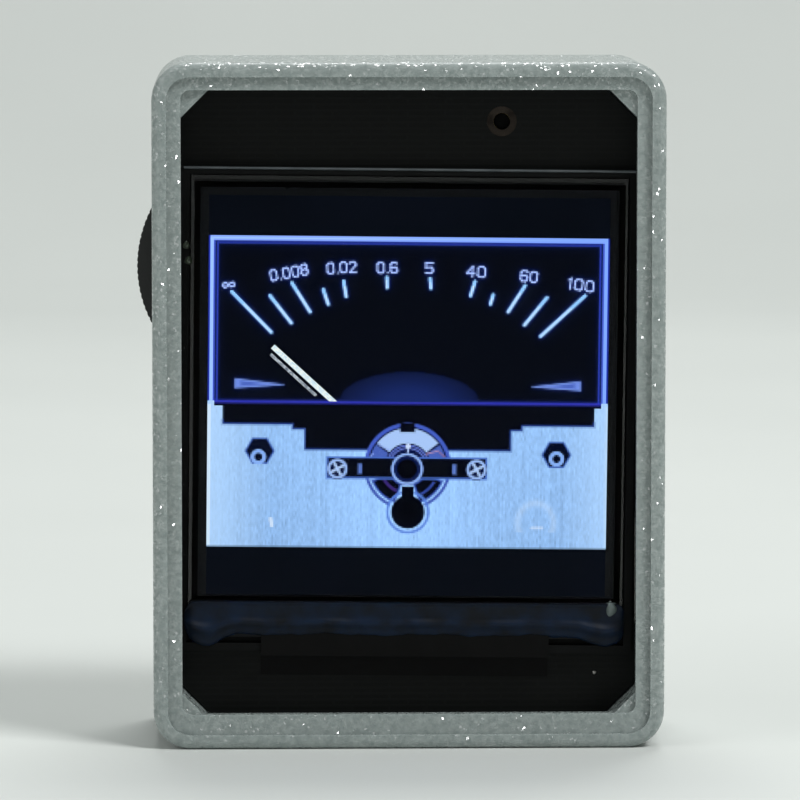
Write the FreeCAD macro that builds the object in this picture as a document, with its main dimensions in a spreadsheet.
import FreeCAD, Part
import math
import os
import re

# Pocket level meter: a small case with a lit screen, a side thumbwheel and a board inside.
# Millimetres. The screen faces -Y, +X is to the right of the screen and +Z is up.
# The origin is in the middle of the face that the case stands on.

doc = FreeCAD.newDocument("pocket_meter")

# Driving dimensions
SIZES = {
    # Case
    "case_width": 35.4,
    "case_height": 47.5,
    "case_depth": 16.0,
    "case_corner": 2.6,
    "case_edge": 0.6,
    "side_wall": 1.6,
    "cavity_corner": 1.0,
    "rim_width": 1.0,
    "rim_step": 0.4,
    "lip": 0.8,
    "window_margin": 0.4,
    "window_margin_end": 0.55,
    "window_rise": 0.25,
    "window_corner": 0.65,
    "cover_thickness": 1.4,
    "cover_ledge": 0.8,
    "fit_gap": 0.1,
    "thread_gap": 0.02,
    "overlap": 0.5,
    "cut_past": 1.0,
    "post_leg": 2.5,
    "post_face": 0.1,
    "screw_inset": 0.55,
    "screw_radius": 0.45,
    "screw_length": 5.0,
    "screw_head_radius": 0.95,
    "screw_head_height": 0.6,
    "screw_head_sink": 0.1,
    "screw_tip_gap": 0.3,
    "screw_slot": 0.3,
    "screw_slot_length": 1.2,
    "pillar_radius": 1.2,
    "pillar_inset": 1.7,
    # Board
    "board_thickness": 1.0,
    "board_gap": 0.3,
    "board_chamfer": 2.15,
    "port_inset": 11.2,
    "port_drop": 4.2,
    "port_radius": 0.58,
    "ring_radius": 1.03,
    "ring_thickness": 0.05,
    "microphone_width": 3.76,
    "microphone_height": 2.95,
    "microphone_depth": 1.1,
    # Screen module, measured from its own centre
    "screen_x": -0.06,
    "screen_z": 23.3,
    "screen_skew": 0.65,
    "screen_side_gap": 0.35,
    "screen_height": 33.7,
    "screen_gap": 0.2,
    "frame_wall": 0.55,
    "frame_floor": 0.2,
    "frame_rise": 0.7,
    "glass_margin": 0.9,
    "glass_end": 0.45,
    "front_glass": 0.6,
    "rear_glass": 0.4,
    "cell_space": 0.4,
    "picture_film": 0.06,
    "light_guide": 0.4,
    "guide_foot": 0.7,
    "ledge": 2.7,
    "seal_width": 0.4,
    "seal_foot": 0.2,
    "active_margin": 1.89,
    "active_height": 27.72,
    "active_rise": 1.0,
    "picture_height": 21.6,
    "picture_rise": 1.32,
    "plate_height": 10.0,
    "tape_thickness": 0.3,
    "tape_margin": 3.0,
    "chip_length": 17.0,
    "chip_width": 0.7,
    "chip_thickness": 0.3,
    "chip_gap": 0.3,
    "bead_radius": 0.55,
    "bead_margin": 0.4,
    "bead_gap": 0.4,
    "flex_width": 20.0,
    "flex_thickness": 0.1,
    "flex_run": 1.6,
    "flex_lap": 1.4,
    "flex_gap": 0.2,
    "lamp_length": 3.0,
    "lamp_pitch": 8.0,
    "lamp_height": 0.6,
    # Needle, measured from its pivot
    "pivot_drop": 4.0,
    "needle_angle": 48.1,
    "needle_length": 12.6,
    "needle_width": 0.36,
    "needle_thickness": 0.1,
    "needle_gap": 0.08,
    "needle_hub": 0.9,
    "shadow_start": 8.1,
    "shadow_end": 12.35,
    "shadow_width": 0.2,
    "shadow_offset": 0.5,
    # Thumbwheel and its control
    "wheel_inset": 7.4,
    "wheel_drop": 14.4,
    "wheel_radius": 8.48,
    "wheel_thickness": 1.6,
    "wheel_gap": 0.2,
    "wheel_clearance": 0.4,
    "slot_clearance": 0.3,
    "wheel_dish": 6.2,
    "dish_depth": 0.4,
    "control_width": 10.6,
    "control_height": 11.6,
    "control_depth": 1.8,
    "control_recess": 4.8,
    "recess_depth": 0.8,
    "shaft_radius": 1.5,
    "shaft_clearance": 0.05,
    "shaft_foot_gap": 0.2,
    "shaft_bore_depth": 1.5,
    "track_inner": 2.8,
    "track_outer": 4.3,
    "track_thickness": 0.1,
    "track_gap": 1.8,
    "track_gap_start": 0.5,
    "wiper_ring": 2.4,
    "wiper_reach": 4.1,
    "wiper_width": 0.8,
    "wiper_gap": 0.1,
    "wiper_sheet": 0.2,
    "wiper_lap": 0.4,
    "wheel_screw_radius": 0.6,
    "wheel_screw_head": 1.6,
    "wheel_screw_rise": 0.5,
    "wheel_screw_length": 1.3,
    "wheel_screw_slot": 0.4,
    "wheel_screw_slot_length": 2.0,
    "terminal_pitch": 2.0,
    "terminal_width": 0.8,
    "terminal_length": 1.6,
    "terminal_thickness": 0.3,
    # Charging socket
    "usb_z": 12.0,
    "usb_width": 8.94,
    "usb_depth": 3.2,
    "usb_length": 7.3,
    "usb_wall": 0.3,
    "usb_corner": 1.5,
    "usb_opening_gap": 0.2,
    "usb_setback": 0.1,
    "tongue_width": 6.7,
    "tongue_thickness": 0.7,
    "tongue_setback": 0.8,
    # Battery
    "battery_width": 24.0,
    "battery_headroom": 7.9,
    "battery_thickness": 4.0,
    "battery_base": 8.0,
    "battery_corner": 1.2,
    "pad_thickness": 0.4,
    "pad_margin": 4.0,
    "lead_radius": 0.3,
    "lead_pitch": 1.25,
    "lead_run": 6.6,
    "lead_spread": 1.75,
    "lead_rise": 3.0,
    "lead_crest": 1.6,
    "lead_drift": 0.2,
    "lead_fall": 0.4,
    "lead_straight": 1.5,
    "plug_length": 3.2,
    "plug_entry": 1.4,
    "plug_height": 3.4,
    "plug_thickness": 1.6,
    "socket_length": 4.0,
    "socket_height": 4.8,
    "socket_depth": 3.2,
    "socket_wall": 0.6,
    "socket_inset": 8.1,
    "socket_drop": 9.7,
    # Controller module and the small parts of the board
    "module_width": 13.2,
    "module_height": 16.6,
    "module_thickness": 0.8,
    "module_inset": 15.5,
    "module_z": 16.6,
    "shield_width": 11.6,
    "shield_height": 11.2,
    "shield_thickness": 1.5,
    "shield_margin": 0.8,
    "reset_inset": 9.2,
    "reset_z": 5.2,
    "reset_size": 3.2,
    "reset_depth": 1.5,
    "plunger_radius": 0.6,
    "plunger_length": 1.0,
    "plunger_rise": 0.4,
    "plunger_clearance": 0.06,
    "plunger_travel": 0.25,
    "plunger_floor": 0.1,
    "pin_hole": 0.6,
    "power_chip_size": 3.0,
    "power_chip_depth": 0.9,
    "power_chip_pitch": 5.4,
    "power_chip_inset": 7.4,
    "power_chip_z": 20.0,
    "coil_radius": 1.9,
    "coil_depth": 1.5,
    "coil_inset": 13.0,
    "coil_z": 29.0,
    "passive_length": 1.0,
    "passive_width": 0.5,
    "passive_pitch": 1.8,
    "passive_inset": 20.0,
    "passive_z": 5.4,
}

sheet = doc.addObject("Spreadsheet::Sheet", "dims")
for row, (word, value) in enumerate(SIZES.items(), start=1):
    sheet.set(f"A{row}", word)
    sheet.set(f"B{row}", str(value))
    sheet.setAlias(f"B{row}", word)
doc.recompute()

# Depths that many pieces share, from the front of the case to the back
FRONT = "(-case_depth / 2)"
LIP_BACK = f"({FRONT} + rim_step + lip)"
GLASS_FRONT = f"({LIP_BACK} + screen_gap)"
CELL_FRONT = f"({GLASS_FRONT} + front_glass)"
CELL_BACK = f"({CELL_FRONT} + cell_space)"
GUIDE_FRONT = f"({CELL_BACK} + rear_glass)"
GUIDE_BACK = f"({GUIDE_FRONT} + light_guide)"
SCREEN_BACK = f"({GUIDE_BACK} + frame_floor)"
BOARD_FRONT = f"({SCREEN_BACK} + tape_thickness)"
BOARD_BACK = f"({BOARD_FRONT} + board_thickness)"
COVER_FRONT = "(case_depth / 2 - cover_thickness)"
SCREW_SEAT = "(case_depth / 2 - screw_head_height - screw_head_sink)"
CONTROL_BACK = f"({BOARD_BACK} + control_depth)"
WHEEL_FRONT = f"({CONTROL_BACK} + wheel_gap)"
WHEEL_BACK = f"({WHEEL_FRONT} + wheel_thickness)"
SCREW_FACE = f"({WHEEL_BACK} - dish_depth)"

# Places that many pieces share, across the case
CAVITY_X = "(case_width / 2 - side_wall)"
CAVITY_LOW = "side_wall"
CAVITY_HIGH = "(case_height - side_wall)"
BOARD_X = f"({CAVITY_X} - board_gap)"
BOARD_LOW = f"({CAVITY_LOW} + board_gap)"
BOARD_HIGH = f"({CAVITY_HIGH} - board_gap)"
PORT_X = "(case_width / 2 - port_inset)"
PORT_Z = "(case_height - port_drop)"
WHEEL_X = "(wheel_inset - case_width / 2)"
WHEEL_Z = "(case_height - wheel_drop)"
SOCKET_X = "(case_width / 2 - socket_inset)"
SOCKET_Z = "(case_height - socket_drop)"
MODULE_X = "(case_width / 2 - module_inset)"
RESET_X = "(reset_inset - case_width / 2)"
SCREEN_HALF = f"({CAVITY_X} - screen_side_gap)"
ACTIVE_HALF = f"({SCREEN_HALF} - active_margin)"
GLASS_HALF = f"({SCREEN_HALF} - glass_margin)"
GLASS_TOP = "(screen_height / 2 - glass_end - frame_wall)"
GLASS_LOW = f"(-{GLASS_TOP})"
LEDGE_TOP = f"({GLASS_LOW} + ledge)"
BATTERY_TOP = f"({CAVITY_HIGH} - battery_headroom)"
BATTERY_BACK = f"({COVER_FRONT} - pad_thickness)"
BATTERY_FRONT = f"({BATTERY_BACK} - battery_thickness)"

WORDS = re.compile(r"\b(" + "|".join(sorted(SIZES, key=len, reverse=True)) + r")\b")
AXIS_Y = FreeCAD.Rotation(FreeCAD.Vector(1, 0, 0), -90)
AXIS_X = FreeCAD.Rotation(FreeCAD.Vector(0, 1, 0), 90)


def bound(text):
    """The expression with each size read from the sheet."""
    return WORDS.sub(r"dims.\1", str(text))


def bind(made, **sizes):
    for name, text in sizes.items():
        made.setExpression(name, bound(text))
    return made


def at(made, x, y, z, turn=None):
    """Places an object by expressions, after an optional turn."""
    if turn is not None:
        made.Placement = FreeCAD.Placement(FreeCAD.Vector(), turn)
    for axis, text in zip("xyz", (x, y, z)):
        made.setExpression(f"Placement.Base.{axis}", bound(text))
    return made


def box(name, x, y, z):
    """A box from three (low, high) pairs of expressions."""
    made = doc.addObject("Part::Box", name)
    bind(made, Length=f"({x[1]}) - ({x[0]})", Width=f"({y[1]}) - ({y[0]})", Height=f"({z[1]}) - ({z[0]})")
    return at(made, x[0], y[0], z[0])


def rod(name, x, y, z, radius):
    """A cylinder along Y. y is a (low, high) pair."""
    made = doc.addObject("Part::Cylinder", name)
    bind(made, Radius=radius, Height=f"({y[1]}) - ({y[0]})")
    return at(made, x, y[0], z, AXIS_Y)


def along(shape, axis):
    """The names of a shape's straight edges that run along an axis."""
    names = []
    for index, edge in enumerate(shape.Edges, start=1):
        run = edge.Vertexes[-1].Point - edge.Vertexes[0].Point
        if run.Length > 1e-6 and abs(run.normalize().dot(axis)) > 0.999:
            names.append(f"Edge{index}")
    return names


def shaped_block(name, x, y, z, size, kind="Fillet", axis=FreeCAD.Vector(0, 1, 0), keep=None):
    """A box whose four edges along one axis are rounded, or cut off with kind Chamfer."""
    body = doc.addObject("PartDesign::Body", name)
    block = body.newObject("PartDesign::AdditiveBox", f"{name}_block")
    bind(block, Length=f"({x[1]}) - ({x[0]})", Width=f"({y[1]}) - ({y[0]})", Height=f"({z[1]}) - ({z[0]})")
    doc.recompute()
    edges = along(block.Shape, axis)
    if keep is not None:
        edges = [edge for edge in edges if keep(block.Shape.getElement(edge).CenterOfMass)]
    shaped = body.newObject(f"PartDesign::{kind}", f"{name}_{kind.lower()}")
    shaped.Base = (block, edges)
    bind(shaped, **{"Radius" if kind == "Fillet" else "Size": size})
    body.Tip = shaped
    return at(body, x[0], y[0], z[0])


def joined(name, pieces):
    made = doc.addObject("Part::MultiFuse", name)
    made.Shapes = pieces
    return made


def cut(name, base, tools):
    made = doc.addObject("Part::Cut", name)
    made.Base = base
    made.Tool = tools[0] if len(tools) == 1 else joined(f"{name}_tools", tools)
    return made


def group(name, pieces):
    """Separate solids in one node."""
    made = doc.addObject("Part::Compound", name)
    made.Links = pieces
    return made


def on_screen(made):
    """Sets a piece that is built about the screen's centre into the case, with the screen's skew."""
    turn = FreeCAD.Rotation(FreeCAD.Vector(0, 1, 0), 1.0)
    made.Placement = FreeCAD.Placement(FreeCAD.Vector(), turn)
    made.setExpression("Placement.Rotation.Angle", bound("screen_skew * 1deg"))
    return at(made, "screen_x", "0", "screen_z", None)


PARTS = []


def keep_part(made, label):
    made.Label = label
    PARTS.append(made)


def corners():
    """The signs of X and the end (0 low, 1 high) of the four corners of the case."""
    return [(side, end) for side in (-1, 1) for end in (0, 1)]


def corner_place(side, end, inset):
    """A point at one inset, both ways, from a corner of the cavity."""
    x = f"{side} * ({CAVITY_X} - {inset})"
    z = f"{CAVITY_HIGH} - {inset}" if end else f"{CAVITY_LOW} + {inset}"
    return x, z


# Front shell: a deep tray with the window in its floor, a raised rim and four corner posts
def front_shell():
    outer = shaped_block(
        "shell_outer", ("-case_width / 2", "case_width / 2"), (FRONT, "case_depth / 2"),
        ("0", "case_height"), "case_corner",
    )
    doc.recompute()
    upright = outer.Tip
    face_edges = [
        f"Edge{index}" for index, edge in enumerate(upright.Shape.Edges, start=1)
        if edge.BoundBox.YLength < 1e-5
    ]
    edges = outer.newObject("PartDesign::Fillet", "shell_edges")
    edges.Base = (upright, face_edges)
    bind(edges, Radius="case_edge")
    outer.Tip = edges
    band = shaped_block(
        "shell_band", ("-case_width / 2 + rim_width", "case_width / 2 - rim_width"),
        (f"{FRONT} - cut_past", f"{FRONT} + rim_step"), ("rim_width", "case_height - rim_width"),
        "case_corner - rim_width",
    )
    window = shaped_block(
        "shell_window", (f"-{CAVITY_X} + window_margin", f"{CAVITY_X} - window_margin"),
        (FRONT, f"{LIP_BACK} + cut_past"),
        (f"{CAVITY_LOW} + window_margin_end + window_rise",
            f"{CAVITY_HIGH} - window_margin_end + window_rise"),
        "window_corner",
    )
    cavity = shaped_block(
        "shell_cavity", (f"-{CAVITY_X}", CAVITY_X), (LIP_BACK, "case_depth / 2 + cut_past"),
        (CAVITY_LOW, CAVITY_HIGH), "cavity_corner",
    )
    rebate = shaped_block(
        "shell_rebate", ("-case_width / 2 + cover_ledge", "case_width / 2 - cover_ledge"),
        (COVER_FRONT, "case_depth / 2 + cut_past"), ("cover_ledge", "case_height - cover_ledge"),
        "case_corner - cover_ledge",
    )
    slot_half = "sqrt(wheel_radius ^ 2 - (wheel_inset - side_wall) ^ 2) + wheel_clearance"
    slot = box(
        "shell_wheel_slot", ("-case_width / 2 - cut_past", f"-{CAVITY_X} + cut_past"),
        (f"{WHEEL_FRONT} - slot_clearance", f"{WHEEL_BACK} + slot_clearance"),
        (f"{WHEEL_Z} - ({slot_half})", f"{WHEEL_Z} + ({slot_half})"),
    )
    mouth = shaped_block(
        "shell_usb_mouth", (f"{CAVITY_X} - cut_past", "case_width / 2 + cut_past"),
        (f"{BOARD_BACK} - usb_opening_gap", f"{BOARD_BACK} + usb_depth + usb_opening_gap"),
        ("usb_z - usb_width / 2 - usb_opening_gap", "usb_z + usb_width / 2 + usb_opening_gap"),
        "usb_corner", axis=FreeCAD.Vector(1, 0, 0),
    )
    hollow = cut("shell_hollow", outer, [band, window, cavity, rebate, slot, mouth])
    posts = [shell_post(side, end) for side, end in corners()]
    bores = []
    for number_of, (side, end) in enumerate(corners(), start=1):
        x, z = corner_place(side, end, "screw_inset")
        bores.append(rod(
            f"post_bore_{number_of}", x, (f"{COVER_FRONT} - screw_length", f"{COVER_FRONT} + cut_past"), z,
            "screw_radius + thread_gap",
        ))
    keep_part(cut("front_shell_solid", joined("shell_with_posts", [hollow, *posts]), bores), "front_shell")


def shell_post(side, end):
    """A corner post, cut off towards the middle of the case, that takes one screw of the cover."""
    x = (f"-{CAVITY_X} - overlap", f"-{CAVITY_X} + post_leg") if side < 0 else (
        f"{CAVITY_X} - post_leg", f"{CAVITY_X} + overlap")
    z = (f"{CAVITY_HIGH} - post_leg", f"{CAVITY_HIGH} + overlap") if end else (
        f"{CAVITY_LOW} - overlap", f"{CAVITY_LOW} + post_leg")
    return shaped_block(
        f"shell_post_{'left' if side < 0 else 'right'}_{'top' if end else 'foot'}",
        x, (f"{LIP_BACK} - lip / 2", COVER_FRONT), z, "post_leg - post_face", "Chamfer",
        keep=lambda point: (point.x > 1) == (side < 0) and (point.z > 1) == (end == 0),
    )


# Rear cover: a plate let into the shell, with four pillars that hold the board down
def rear_cover():
    plate = shaped_block(
        "cover_plate",
        ("-case_width / 2 + cover_ledge + fit_gap", "case_width / 2 - cover_ledge - fit_gap"),
        (COVER_FRONT, "case_depth / 2"),
        ("cover_ledge + fit_gap", "case_height - cover_ledge - fit_gap"),
        "case_corner - cover_ledge - fit_gap",
    )
    pillars = []
    holes = [rod(
        "cover_pin_hole", RESET_X, (f"{COVER_FRONT} - cut_past", "case_depth / 2 + cut_past"), "reset_z",
        "pin_hole")]
    for place, (side, end) in enumerate(corners(), start=1):
        x, z = corner_place(side, end, "(post_leg / 2 + pillar_inset)")
        pillars.append(rod(f"cover_pillar_{place}", x, (BOARD_BACK, f"{COVER_FRONT} + overlap"), z,
            "pillar_radius"))
        x, z = corner_place(side, end, "screw_inset")
        holes.append(rod(
            f"cover_hole_{place}", x, (f"{COVER_FRONT} - cut_past", "case_depth / 2 + cut_past"), z,
            "screw_radius + fit_gap"))
        holes.append(rod(
            f"cover_counterbore_{place}", x, (SCREW_SEAT, "case_depth / 2 + cut_past"), z,
            "screw_head_radius + fit_gap / 2"))
    keep_part(cut("rear_cover_solid", joined("cover_with_pillars", [plate, *pillars]), holes), "rear_cover")


def case_screws():
    screws = []
    for place, (side, end) in enumerate(corners(), start=1):
        x, z = corner_place(side, end, "screw_inset")
        top = f"({SCREW_SEAT} + screw_head_height)"
        head = rod(f"screw_head_{place}", x, (SCREW_SEAT, top), z, "screw_head_radius")
        shank = rod(
            f"screw_shank_{place}", x,
            (f"{COVER_FRONT} - screw_length + screw_tip_gap", f"{SCREW_SEAT} + screw_head_height / 4"), z,
            "screw_radius")
        slots = []
        for arm in (0, 1):
            wide, high = ("screw_slot", "screw_slot_length") if arm else ("screw_slot_length", "screw_slot")
            slots.append(box(
                f"screw_slot_{place}_{arm}", (f"{x} - {wide} / 2", f"{x} + {wide} / 2"),
                (f"{SCREW_SEAT} + screw_head_height / 2", f"{top} + cut_past"),
                (f"{z} - {high} / 2", f"{z} + {high} / 2"),
            ))
        screws.append(cut(f"screw_{place}", joined(f"screw_blank_{place}", [head, shank]), slots))
    keep_part(group("case_screws_set", screws), "case_screws")


# Main board with its cut-off corners and the sound port of the microphone
def main_board():
    blank = shaped_block(
        "board_blank", (f"-{BOARD_X}", BOARD_X), (BOARD_FRONT, BOARD_BACK), (BOARD_LOW, BOARD_HIGH),
        "board_chamfer", "Chamfer",
    )
    port = rod(
        "board_port", PORT_X, (f"{BOARD_FRONT} - cut_past", f"{BOARD_BACK} + cut_past"), PORT_Z,
        "port_radius")
    keep_part(cut("main_board_solid", blank, [port]), "main_board")


def port_ring():
    outer = rod("ring_outer", PORT_X, (f"{BOARD_FRONT} - ring_thickness", BOARD_FRONT), PORT_Z,
        "ring_radius")
    inner = rod(
        "ring_inner", PORT_X, (f"{BOARD_FRONT} - cut_past", f"{BOARD_FRONT} + cut_past"), PORT_Z,
        "port_radius")
    keep_part(cut("port_ring_solid", outer, [inner]), "sound_port_ring")


def microphone():
    made = box(
        "microphone_can", (f"{PORT_X} - microphone_width / 2", f"{PORT_X} + microphone_width / 2"),
        (BOARD_BACK, f"{BOARD_BACK} + microphone_depth"),
        (f"{PORT_Z} - microphone_height / 2", f"{PORT_Z} + microphone_height / 2"),
    )
    keep_part(made, "microphone")


# Screen module, built about its own centre and then turned by its small skew in the case
def screen_frame():
    outer = box(
        "frame_outer", (f"-{SCREEN_HALF}", SCREEN_HALF),
        (f"{SCREEN_BACK} - frame_floor - frame_rise", SCREEN_BACK),
        ("-screen_height / 2", "screen_height / 2"),
    )
    inner = box(
        "frame_inner", (f"-{SCREEN_HALF} + frame_wall", f"{SCREEN_HALF} - frame_wall"),
        (f"{GUIDE_FRONT} - cut_past", GUIDE_BACK),
        ("-screen_height / 2 + frame_wall", "screen_height / 2 - frame_wall"),
    )
    keep_part(on_screen(cut("screen_frame_solid", outer, [inner])), "screen_frame")


def screen_sheet(name, label, x_half, y, z):
    """One flat layer of the screen: a box that follows the skew."""
    sheet_box = box(f"{name}_sheet", (f"-{x_half}", x_half), y, z)
    keep_part(on_screen(group(name, [sheet_box])), label)


def screen_layers():
    guide_x = f"({SCREEN_HALF} - frame_wall - fit_gap)"
    guide_top = "(screen_height / 2 - frame_wall - fit_gap)"
    screen_sheet("guide", "light_guide", guide_x, (GUIDE_FRONT, GUIDE_BACK),
        (f"{GLASS_LOW} + guide_foot", guide_top))
    screen_sheet("rear_pane", "screen_rear_glass", GLASS_HALF, (CELL_BACK, GUIDE_FRONT),
        (GLASS_LOW, GLASS_TOP))
    screen_sheet("front_pane", "screen_front_glass", GLASS_HALF, (GLASS_FRONT, CELL_FRONT),
        (LEDGE_TOP, GLASS_TOP))
    screen_sheet(
        "dial_film", "dial_picture", ACTIVE_HALF, (f"{CELL_BACK} - picture_film", CELL_BACK),
        ("active_rise - active_height / 2", "active_rise + active_height / 2"),
    )
    plate_low = "(picture_rise - picture_height / 2)"
    screen_sheet(
        "plate_film", "plate_picture", ACTIVE_HALF, (CELL_FRONT, f"{CELL_FRONT} + picture_film"),
        (plate_low, f"{plate_low} + plate_height"),
    )
    seal = []
    for side in (-1, 1):
        low, high = (f"-{GLASS_HALF}", f"-{GLASS_HALF} + seal_width") if side < 0 else (
            f"{GLASS_HALF} - seal_width", GLASS_HALF)
        seal.append(box(f"cell_seal_side_{side + 2}", (low, high), (CELL_FRONT, CELL_BACK),
            (LEDGE_TOP, GLASS_TOP)))
    seal.append(box(
        "cell_seal_top", (f"-{GLASS_HALF}", GLASS_HALF), (CELL_FRONT, CELL_BACK),
        (f"{GLASS_TOP} - seal_width", GLASS_TOP)))
    seal.append(box(
        "cell_seal_low", (f"-{GLASS_HALF}", GLASS_HALF), (CELL_FRONT, CELL_BACK),
        (LEDGE_TOP, f"{LEDGE_TOP} + seal_foot")))
    keep_part(on_screen(joined("cell_seal_solid", seal)), "cell_seal")


def lamp_strip():
    """Three lamps at the foot of the light guide."""
    lamps = []
    foot = "(-screen_height / 2 + frame_wall + fit_gap)"
    for place in (-1, 0, 1):
        middle = f"{place} * lamp_pitch"
        lamps.append(box(
            f"lamp_{place + 2}", (f"{middle} - lamp_length / 2", f"{middle} + lamp_length / 2"),
            (GUIDE_FRONT, GUIDE_BACK), (foot, f"{foot} + lamp_height"),
        ))
    keep_part(on_screen(group("lamp_set", lamps)), "backlight_lamps")


def driver_chip():
    low = f"({LEDGE_TOP} - chip_width - chip_gap)"
    made = box(
        "chip_block", ("-chip_length / 2", "chip_length / 2"), (f"{CELL_BACK} - chip_thickness", CELL_BACK),
        (low, f"{low} + chip_width"),
    )
    keep_part(on_screen(group("chip_set", [made])), "driver_chip")


def glue_bead():
    """The bead of glue along the foot of the glass, a half round on the ledge."""
    middle = f"({LEDGE_TOP} - chip_width - bead_gap - bead_radius)"
    half = f"({GLASS_HALF} - bead_margin)"
    bead = doc.addObject("Part::Cylinder", "bead_rod")
    bind(bead, Radius="bead_radius", Height=f"2 * {half}")
    at(bead, f"-{half}", f"{CELL_BACK} - flex_thickness", middle, AXIS_X)
    back = box(
        "bead_back", (f"-{half} - cut_past", f"{half} + cut_past"),
        (f"{CELL_BACK} - flex_thickness", f"{CELL_BACK} + bead_radius"),
        (f"{middle} - bead_radius - cut_past", f"{middle} + bead_radius + cut_past"),
    )
    keep_part(on_screen(cut("bead_solid", bead, [back])), "glue_bead")


def screen_flex():
    """The flat cable: off the ledge, down past the frame and flat onto the board."""
    top = f"({GLASS_LOW} + flex_lap)"
    edge = "(-screen_height / 2 - flex_gap)"
    x = ("-flex_width / 2", "flex_width / 2")
    on_ledge = box("flex_ledge", x, (f"{CELL_BACK} - flex_thickness", CELL_BACK), (edge, top))
    fall = box("flex_fall", x, (f"{CELL_BACK} - flex_thickness", BOARD_FRONT),
        (f"{edge} - flex_thickness", edge))
    foot = box(
        "flex_foot", x, (f"{BOARD_FRONT} - flex_thickness", BOARD_FRONT), (f"{edge} - flex_run", edge))
    keep_part(on_screen(joined("flex_solid", [on_ledge, fall, foot])), "screen_flex")


def screen_tape():
    half = f"({SCREEN_HALF} - tape_margin)"
    end = "(screen_height / 2 - tape_margin)"
    screen_sheet("tape", "screen_tape", half, (SCREEN_BACK, BOARD_FRONT), (f"-{end}", end))


# Needle of the meter face: a thin lit bar that turns about the pivot, with its shadow beside it
def needle_bar(name, offset, start, end, width, y):
    """A bar on a line out from the pivot, at the needle's angle, built about the screen's centre."""
    return box(name, (f"{offset} - {width} / 2", f"{offset} + {width} / 2"), y, (start, end))


def turned_about_pivot(made):
    made.Placement = FreeCAD.Placement(FreeCAD.Vector(), FreeCAD.Rotation(FreeCAD.Vector(0, 1, 0), -1.0))
    made.setExpression("Placement.Rotation.Angle", bound("-(needle_angle - screen_skew) * 1deg"))
    return at(
        made, "screen_x - pivot_drop * sin(screen_skew * 1deg)", "0",
        "screen_z - pivot_drop * cos(screen_skew * 1deg)",
    )


def needle():
    y = (f"{CELL_FRONT} + picture_film + needle_gap",
        f"{CELL_FRONT} + picture_film + needle_gap + needle_thickness")
    bar = needle_bar("needle_bar", "0", "0", "needle_length", "needle_width", y)
    hub = rod("needle_hub", "0", y, "0", "needle_hub")
    keep_part(turned_about_pivot(joined("needle_solid", [bar, hub])), "needle")
    shadow = needle_bar("shadow_bar", "(-shadow_offset)", "shadow_start", "shadow_end", "shadow_width", y)
    keep_part(turned_about_pivot(group("shadow_solid", [shadow])), "needle_shadow")


# Thumbwheel and the rotary control that it turns
def thumbwheel():
    disc = rod("wheel_disc", WHEEL_X, (WHEEL_FRONT, WHEEL_BACK), WHEEL_Z, "wheel_radius")
    dish = rod(
        "wheel_dish_cut", WHEEL_X, (f"{WHEEL_BACK} - dish_depth", f"{WHEEL_BACK} + cut_past"), WHEEL_Z,
        "wheel_dish")
    bore = rod(
        "wheel_bore", WHEEL_X, (f"{WHEEL_FRONT} - cut_past", f"{WHEEL_BACK} + cut_past"), WHEEL_Z,
        "shaft_radius + shaft_clearance / 2")
    keep_part(cut("thumbwheel_solid", disc, [dish, bore]), "thumbwheel")


def wheel_shaft():
    body = rod(
        "shaft_rod", WHEEL_X, (f"{BOARD_BACK} + shaft_foot_gap", SCREW_FACE), WHEEL_Z, "shaft_radius")
    bore = rod(
        "shaft_bore", WHEEL_X, (f"{SCREW_FACE} - shaft_bore_depth", f"{WHEEL_BACK} + cut_past"), WHEEL_Z,
        "wheel_screw_radius + thread_gap")
    keep_part(cut("wheel_shaft_solid", body, [bore]), "wheel_shaft")


def wheel_screw():
    top = f"({SCREW_FACE} + wheel_screw_rise)"
    head = rod("wheel_screw_top", WHEEL_X, (SCREW_FACE, top), WHEEL_Z, "wheel_screw_head")
    shank = rod(
        "wheel_screw_shank", WHEEL_X,
        (f"{SCREW_FACE} - wheel_screw_length", f"{SCREW_FACE} + wheel_screw_rise / 4"),
        WHEEL_Z, "wheel_screw_radius")
    slots = []
    for arm in (0, 1):
        wide, high = ("wheel_screw_slot", "wheel_screw_slot_length")
        if arm:
            wide, high = high, wide
        slots.append(box(
            f"wheel_screw_slot_{arm}", (f"{WHEEL_X} - {wide} / 2", f"{WHEEL_X} + {wide} / 2"),
            (f"{SCREW_FACE} + wheel_screw_rise / 2", f"{top} + cut_past"),
            (f"{WHEEL_Z} - {high} / 2", f"{WHEEL_Z} + {high} / 2"),
        ))
    keep_part(cut("wheel_screw_solid", joined("wheel_screw_blank", [head, shank]), slots), "wheel_screw")


def control_base():
    block = box(
        "control_block", (f"{WHEEL_X} - control_width / 2", f"{WHEEL_X} + control_width / 2"),
        (BOARD_BACK, CONTROL_BACK), (f"{WHEEL_Z} - control_height / 2", f"{WHEEL_Z} + control_height / 2"),
    )
    recess = rod(
        "control_recess_cut", WHEEL_X, (f"{CONTROL_BACK} - recess_depth", f"{CONTROL_BACK} + cut_past"),
        WHEEL_Z,
        "control_recess")
    bore = rod(
        "control_bore", WHEEL_X, (f"{BOARD_BACK} - cut_past", f"{CONTROL_BACK} + cut_past"), WHEEL_Z,
        "shaft_radius + shaft_clearance")
    keep_part(cut("control_base_solid", block, [recess, bore]), "control_base")


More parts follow.
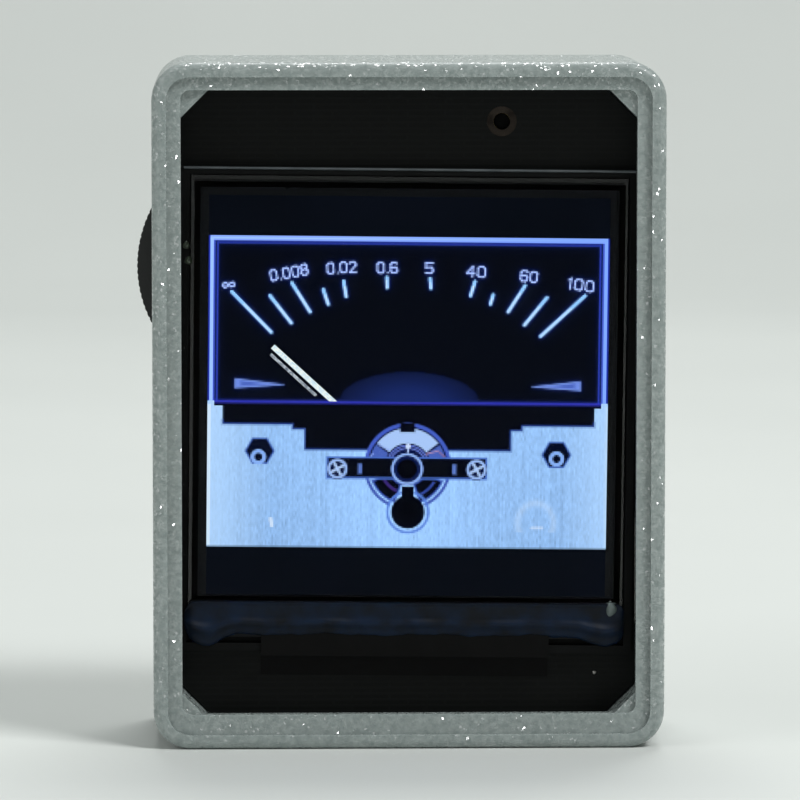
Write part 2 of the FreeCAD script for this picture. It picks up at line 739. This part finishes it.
def resistance_track():
    floor = f"({CONTROL_BACK} - recess_depth)"
    outer = rod("track_outer_rod", WHEEL_X, (floor, f"{floor} + track_thickness"), WHEEL_Z, "track_outer")
    inner = rod("track_inner_rod", WHEEL_X, (f"{floor} - cut_past", f"{floor} + cut_past"), WHEEL_Z,
        "track_inner")
    gap = box(
        "track_gap_cut", (f"{WHEEL_X} + track_gap_start", f"{WHEEL_X} + track_outer + cut_past"),
        (f"{floor} - cut_past", f"{floor} + cut_past"),
        (f"{WHEEL_Z} - track_gap / 2", f"{WHEEL_Z} + track_gap / 2"),
    )
    keep_part(cut("track_solid", outer, [inner, gap]), "resistance_track")


def wiper():
    floor = f"({CONTROL_BACK} - recess_depth + track_thickness + wiper_gap)"
    ring = rod("wiper_ring_rod", WHEEL_X, (floor, WHEEL_FRONT), WHEEL_Z, "wiper_ring")
    bore = rod(
        "wiper_bore", WHEEL_X, (f"{floor} - cut_past", f"{WHEEL_FRONT} + cut_past"), WHEEL_Z,
        "shaft_radius + shaft_clearance")
    arm = box(
        "wiper_arm", (f"{WHEEL_X} - wiper_width / 2", f"{WHEEL_X} + wiper_width / 2"),
        (floor, f"{floor} + wiper_sheet"),
        (f"{WHEEL_Z} + wiper_ring - wiper_lap", f"{WHEEL_Z} + wiper_reach"),
    )
    keep_part(cut("wiper_solid", joined("wiper_blank", [ring, arm]), [bore]), "wiper")


def control_terminals():
    legs = []
    for place in range(5):
        x = f"({WHEEL_X} + {place - 2} * terminal_pitch)"
        legs.append(box(
            f"terminal_{place + 1}", (f"{x} - terminal_width / 2", f"{x} + terminal_width / 2"),
            (BOARD_BACK, f"{BOARD_BACK} + terminal_thickness"),
            (f"{WHEEL_Z} - control_height / 2 - terminal_length", f"{WHEEL_Z} - control_height / 2"),
        ))
    keep_part(group("terminal_set", legs), "control_terminals")


# Charging socket at the right wall
def usb_socket():
    mouth = "(case_width / 2 - usb_setback)"
    z = ("usb_z - usb_width / 2", "usb_z + usb_width / 2")
    along_x = FreeCAD.Vector(1, 0, 0)
    outer = shaped_block(
        "usb_outer", (f"{mouth} - usb_length", mouth), (BOARD_BACK, f"{BOARD_BACK} + usb_depth"), z,
        "usb_corner", axis=along_x,
    )
    inner = shaped_block(
        "usb_inner", (f"{mouth} - usb_length + usb_wall * 2", f"{mouth} + cut_past"),
        (f"{BOARD_BACK} + usb_wall", f"{BOARD_BACK} + usb_depth - usb_wall"),
        ("usb_z - usb_width / 2 + usb_wall", "usb_z + usb_width / 2 - usb_wall"),
        "usb_corner - usb_wall", axis=along_x,
    )
    keep_part(cut("usb_shell_solid", outer, [inner]), "usb_socket_shell")
    middle = f"({BOARD_BACK} + usb_depth / 2)"
    tongue = box(
        "usb_tongue_block", (f"{mouth} - usb_length + usb_wall * 2", f"{mouth} - tongue_setback"),
        (f"{middle} - tongue_thickness / 2", f"{middle} + tongue_thickness / 2"),
        ("usb_z - tongue_width / 2", "usb_z + tongue_width / 2"),
    )
    keep_part(tongue, "usb_socket_tongue")


# Battery with its pad, leads, plug and socket
def battery():
    x = ("-battery_width / 2", "battery_width / 2")
    z = ("battery_base", BATTERY_TOP)
    cell = shaped_block(
        "battery_block", x, (BATTERY_FRONT, BATTERY_BACK), z, "battery_corner",
        axis=FreeCAD.Vector(0, 0, 1))
    keep_part(cell, "battery_cell")
    pad = box(
        "pad_block", (f"{x[0]} + pad_margin", f"{x[1]} - pad_margin"), (BATTERY_BACK, COVER_FRONT),
        (f"{z[0]} + pad_margin", f"{z[1]} - pad_margin"),
    )
    keep_part(pad, "battery_pad")


def battery_connector():
    depth_middle = f"({BOARD_BACK} + socket_depth / 2)"
    outer = box(
        "socket_outer", (SOCKET_X, f"{SOCKET_X} + socket_length"),
        (BOARD_BACK, f"{BOARD_BACK} + socket_depth"),
        (f"{SOCKET_Z} - socket_height / 2", f"{SOCKET_Z} + socket_height / 2"),
    )
    inner = box(
        "socket_inner", (f"{SOCKET_X} - cut_past", f"{SOCKET_X} + socket_length - socket_wall"),
        (f"{depth_middle} - plug_thickness / 2 - fit_gap / 2",
            f"{depth_middle} + plug_thickness / 2 + fit_gap / 2"),
        (f"{SOCKET_Z} - plug_height / 2 - fit_gap / 2", f"{SOCKET_Z} + plug_height / 2 + fit_gap / 2"),
    )
    keep_part(cut("battery_socket_solid", outer, [inner]), "battery_socket")
    plug = box(
        "plug_block", (f"{SOCKET_X} + plug_entry - plug_length", f"{SOCKET_X} + plug_entry"),
        (f"{depth_middle} - plug_thickness / 2", f"{depth_middle} + plug_thickness / 2"),
        (f"{SOCKET_Z} - plug_height / 2", f"{SOCKET_Z} + plug_height / 2"),
    )
    keep_part(plug, "battery_plug")


def swept_tube(points, radius):
    """A tube along straight runs joined by arcs as large as the runs allow."""
    pieces = []
    start = points[0]
    for before, point, after in zip(points, points[1:], points[2:]):
        into = (point - before)
        out = (after - point)
        shorter = min(into.Length, out.Length)
        into.normalize()
        out.normalize()
        turn = math.acos(max(-1.0, min(1.0, into.dot(out))))
        reach = 0.45 * shorter
        arc_radius = reach / math.tan(turn / 2)
        first = point - into * reach
        last = point + out * reach
        towards = (out - into).normalize()
        centre = point + towards * (arc_radius / math.cos(turn / 2))
        middle = centre - towards * arc_radius
        pieces.append(Part.LineSegment(start, first).toShape())
        pieces.append(Part.Arc(first, middle, last).toShape())
        start = last
        print("lead arc radius", round(arc_radius, 2))
    pieces.append(Part.LineSegment(start, points[-1]).toShape())
    path = Part.Wire(pieces)
    section = Part.Wire(Part.makeCircle(radius, points[0], points[1] - points[0]))
    tube = path.makePipeShell([section], True, False)
    expected = math.pi * radius ** 2 * path.Length
    assert abs(tube.Volume / expected - 1) < 0.01
    return tube


def battery_leads():
    """Two leads from the top of the cell, forward over it and down to the plug."""
    value = {word: float(sheet.get(word)) for word in SIZES}
    cover_front = value["case_depth"] / 2 - value["cover_thickness"]
    cell_middle = cover_front - value["pad_thickness"] - value["battery_thickness"] / 2
    board_back = (
        -value["case_depth"] / 2 + value["rim_step"] + value["lip"] + value["screen_gap"]
        + value["front_glass"] + value["cell_space"] + value["rear_glass"] + value["light_guide"]
        + value["frame_floor"] + value["tape_thickness"] + value["board_thickness"]
    )
    plug_middle = board_back + value["socket_depth"] / 2
    socket_x = value["case_width"] / 2 - value["socket_inset"]
    socket_z = value["case_height"] - value["socket_drop"]
    plug_end = socket_x + value["plug_entry"] - value["plug_length"]
    top = value["case_height"] - value["side_wall"] - value["battery_headroom"]
    for place, name in ((-1, "battery_lead_red"), (1, "battery_lead_black")):
        shift = place * value["lead_pitch"] / 2
        x = socket_x - value["lead_run"] + place * value["lead_spread"] / 2
        plug_z = socket_z + shift
        high = max(top + value["lead_rise"], plug_z + value["lead_crest"]) + shift / 2
        points = [
            FreeCAD.Vector(x, cell_middle, top),
            FreeCAD.Vector(x, cell_middle, high),
            FreeCAD.Vector(x + value["lead_drift"], plug_middle, high - value["lead_fall"]),
            FreeCAD.Vector(plug_end - value["lead_straight"], plug_middle, plug_z),
            FreeCAD.Vector(plug_end, plug_middle, plug_z),
        ]
        lead = doc.addObject("Part::Feature", name)
        lead.Shape = swept_tube(points, value["lead_radius"])
        lead.Placement = FreeCAD.Placement()
        keep_part(lead, name)


# Controller module and the small parts on the back of the board
def controller_module():
    back = f"({BOARD_BACK} + module_thickness)"
    keep_part(box(
        "module_board", (f"{MODULE_X} - module_width / 2", f"{MODULE_X} + module_width / 2"),
        (BOARD_BACK, back),
        ("module_z - module_height / 2", "module_z + module_height / 2"),
    ), "controller_module")
    low = "(module_z - module_height / 2 + shield_margin)"
    keep_part(box(
        "module_shield", (f"{MODULE_X} - shield_width / 2", f"{MODULE_X} + shield_width / 2"),
        (back, f"{back} + shield_thickness"), (low, f"{low} + shield_height"),
    ), "controller_shield")


def reset_switch():
    half = "(reset_size / 2)"
    body = box(
        "reset_block", (f"{RESET_X} - {half}", f"{RESET_X} + {half}"),
        (BOARD_BACK, f"{BOARD_BACK} + reset_depth"),
        (f"reset_z - {half}", f"reset_z + {half}"),
    )
    top = f"({BOARD_BACK} + reset_depth + plunger_rise)"
    bore = rod(
        "reset_bore", RESET_X,
        (f"{top} - plunger_length - plunger_travel - plunger_floor", f"{top} + cut_past"),
        "reset_z",
        "plunger_radius + plunger_clearance")
    keep_part(cut("reset_body_solid", body, [bore]), "reset_switch_body")
    keep_part(rod("reset_plunger_rod", RESET_X, (f"{top} - plunger_length", top), "reset_z",
        "plunger_radius"),
              "reset_plunger")


def power_parts():
    """The two power chips in a column beside the socket, the coil, and a row of capacitors."""
    chips = []
    left = "(case_width / 2 - power_chip_inset)"
    for place in (0, 1):
        low = f"(power_chip_z + {place} * power_chip_pitch)"
        chips.append(box(
            f"power_chip_{place + 1}", (left, f"{left} + power_chip_size"),
            (BOARD_BACK, f"{BOARD_BACK} + power_chip_depth"), (low, f"{low} + power_chip_size"),
        ))
    keep_part(group("power_chip_set", chips), "power_chips")
    keep_part(rod(
        "coil_rod", "(case_width / 2 - coil_inset)", (BOARD_BACK, f"{BOARD_BACK} + coil_depth"), "coil_z",
        "coil_radius",
    ), "power_coil")
    passives = []
    for place in range(6):
        x = f"(case_width / 2 - passive_inset + {place} * passive_pitch)"
        passives.append(box(
            f"passive_{place + 1}", (x, f"{x} + passive_length"),
            (BOARD_BACK, f"{BOARD_BACK} + passive_width"),
            ("passive_z", "passive_z + passive_width"),
        ))
    keep_part(group("passive_set", passives), "board_capacitors")


front_shell()
rear_cover()
case_screws()
main_board()
port_ring()
microphone()
screen_frame()
screen_layers()
lamp_strip()
driver_chip()
glue_bead()
screen_flex()
screen_tape()
needle()
thumbwheel()
wheel_shaft()
wheel_screw()
control_base()
resistance_track()
wiper()
control_terminals()
usb_socket()
battery()
battery_connector()
battery_leads()
controller_module()
reset_switch()
power_parts()
doc.recompute()

for made in doc.Objects:
    assert "Invalid" not in made.State and "Error" not in made.State, (made.Name, made.State)
os.makedirs("parts", exist_ok=True)
for made in PARTS:
    shape = made.Shape
    assert not shape.isNull() and shape.isValid(), made.Label
    shape.exportStep(f"parts/{made.Label}.step")
    room = shape.BoundBox
    print(f"{made.Label:22s} solids {len(shape.Solids)}  {shape.Volume:9.3f} mm3  "
          f"x {room.XMin:.2f} {room.XMax:.2f}  y {room.YMin:.2f} {room.YMax:.2f}  z {room.ZMin:.2f} {room.ZMax:.2f}")
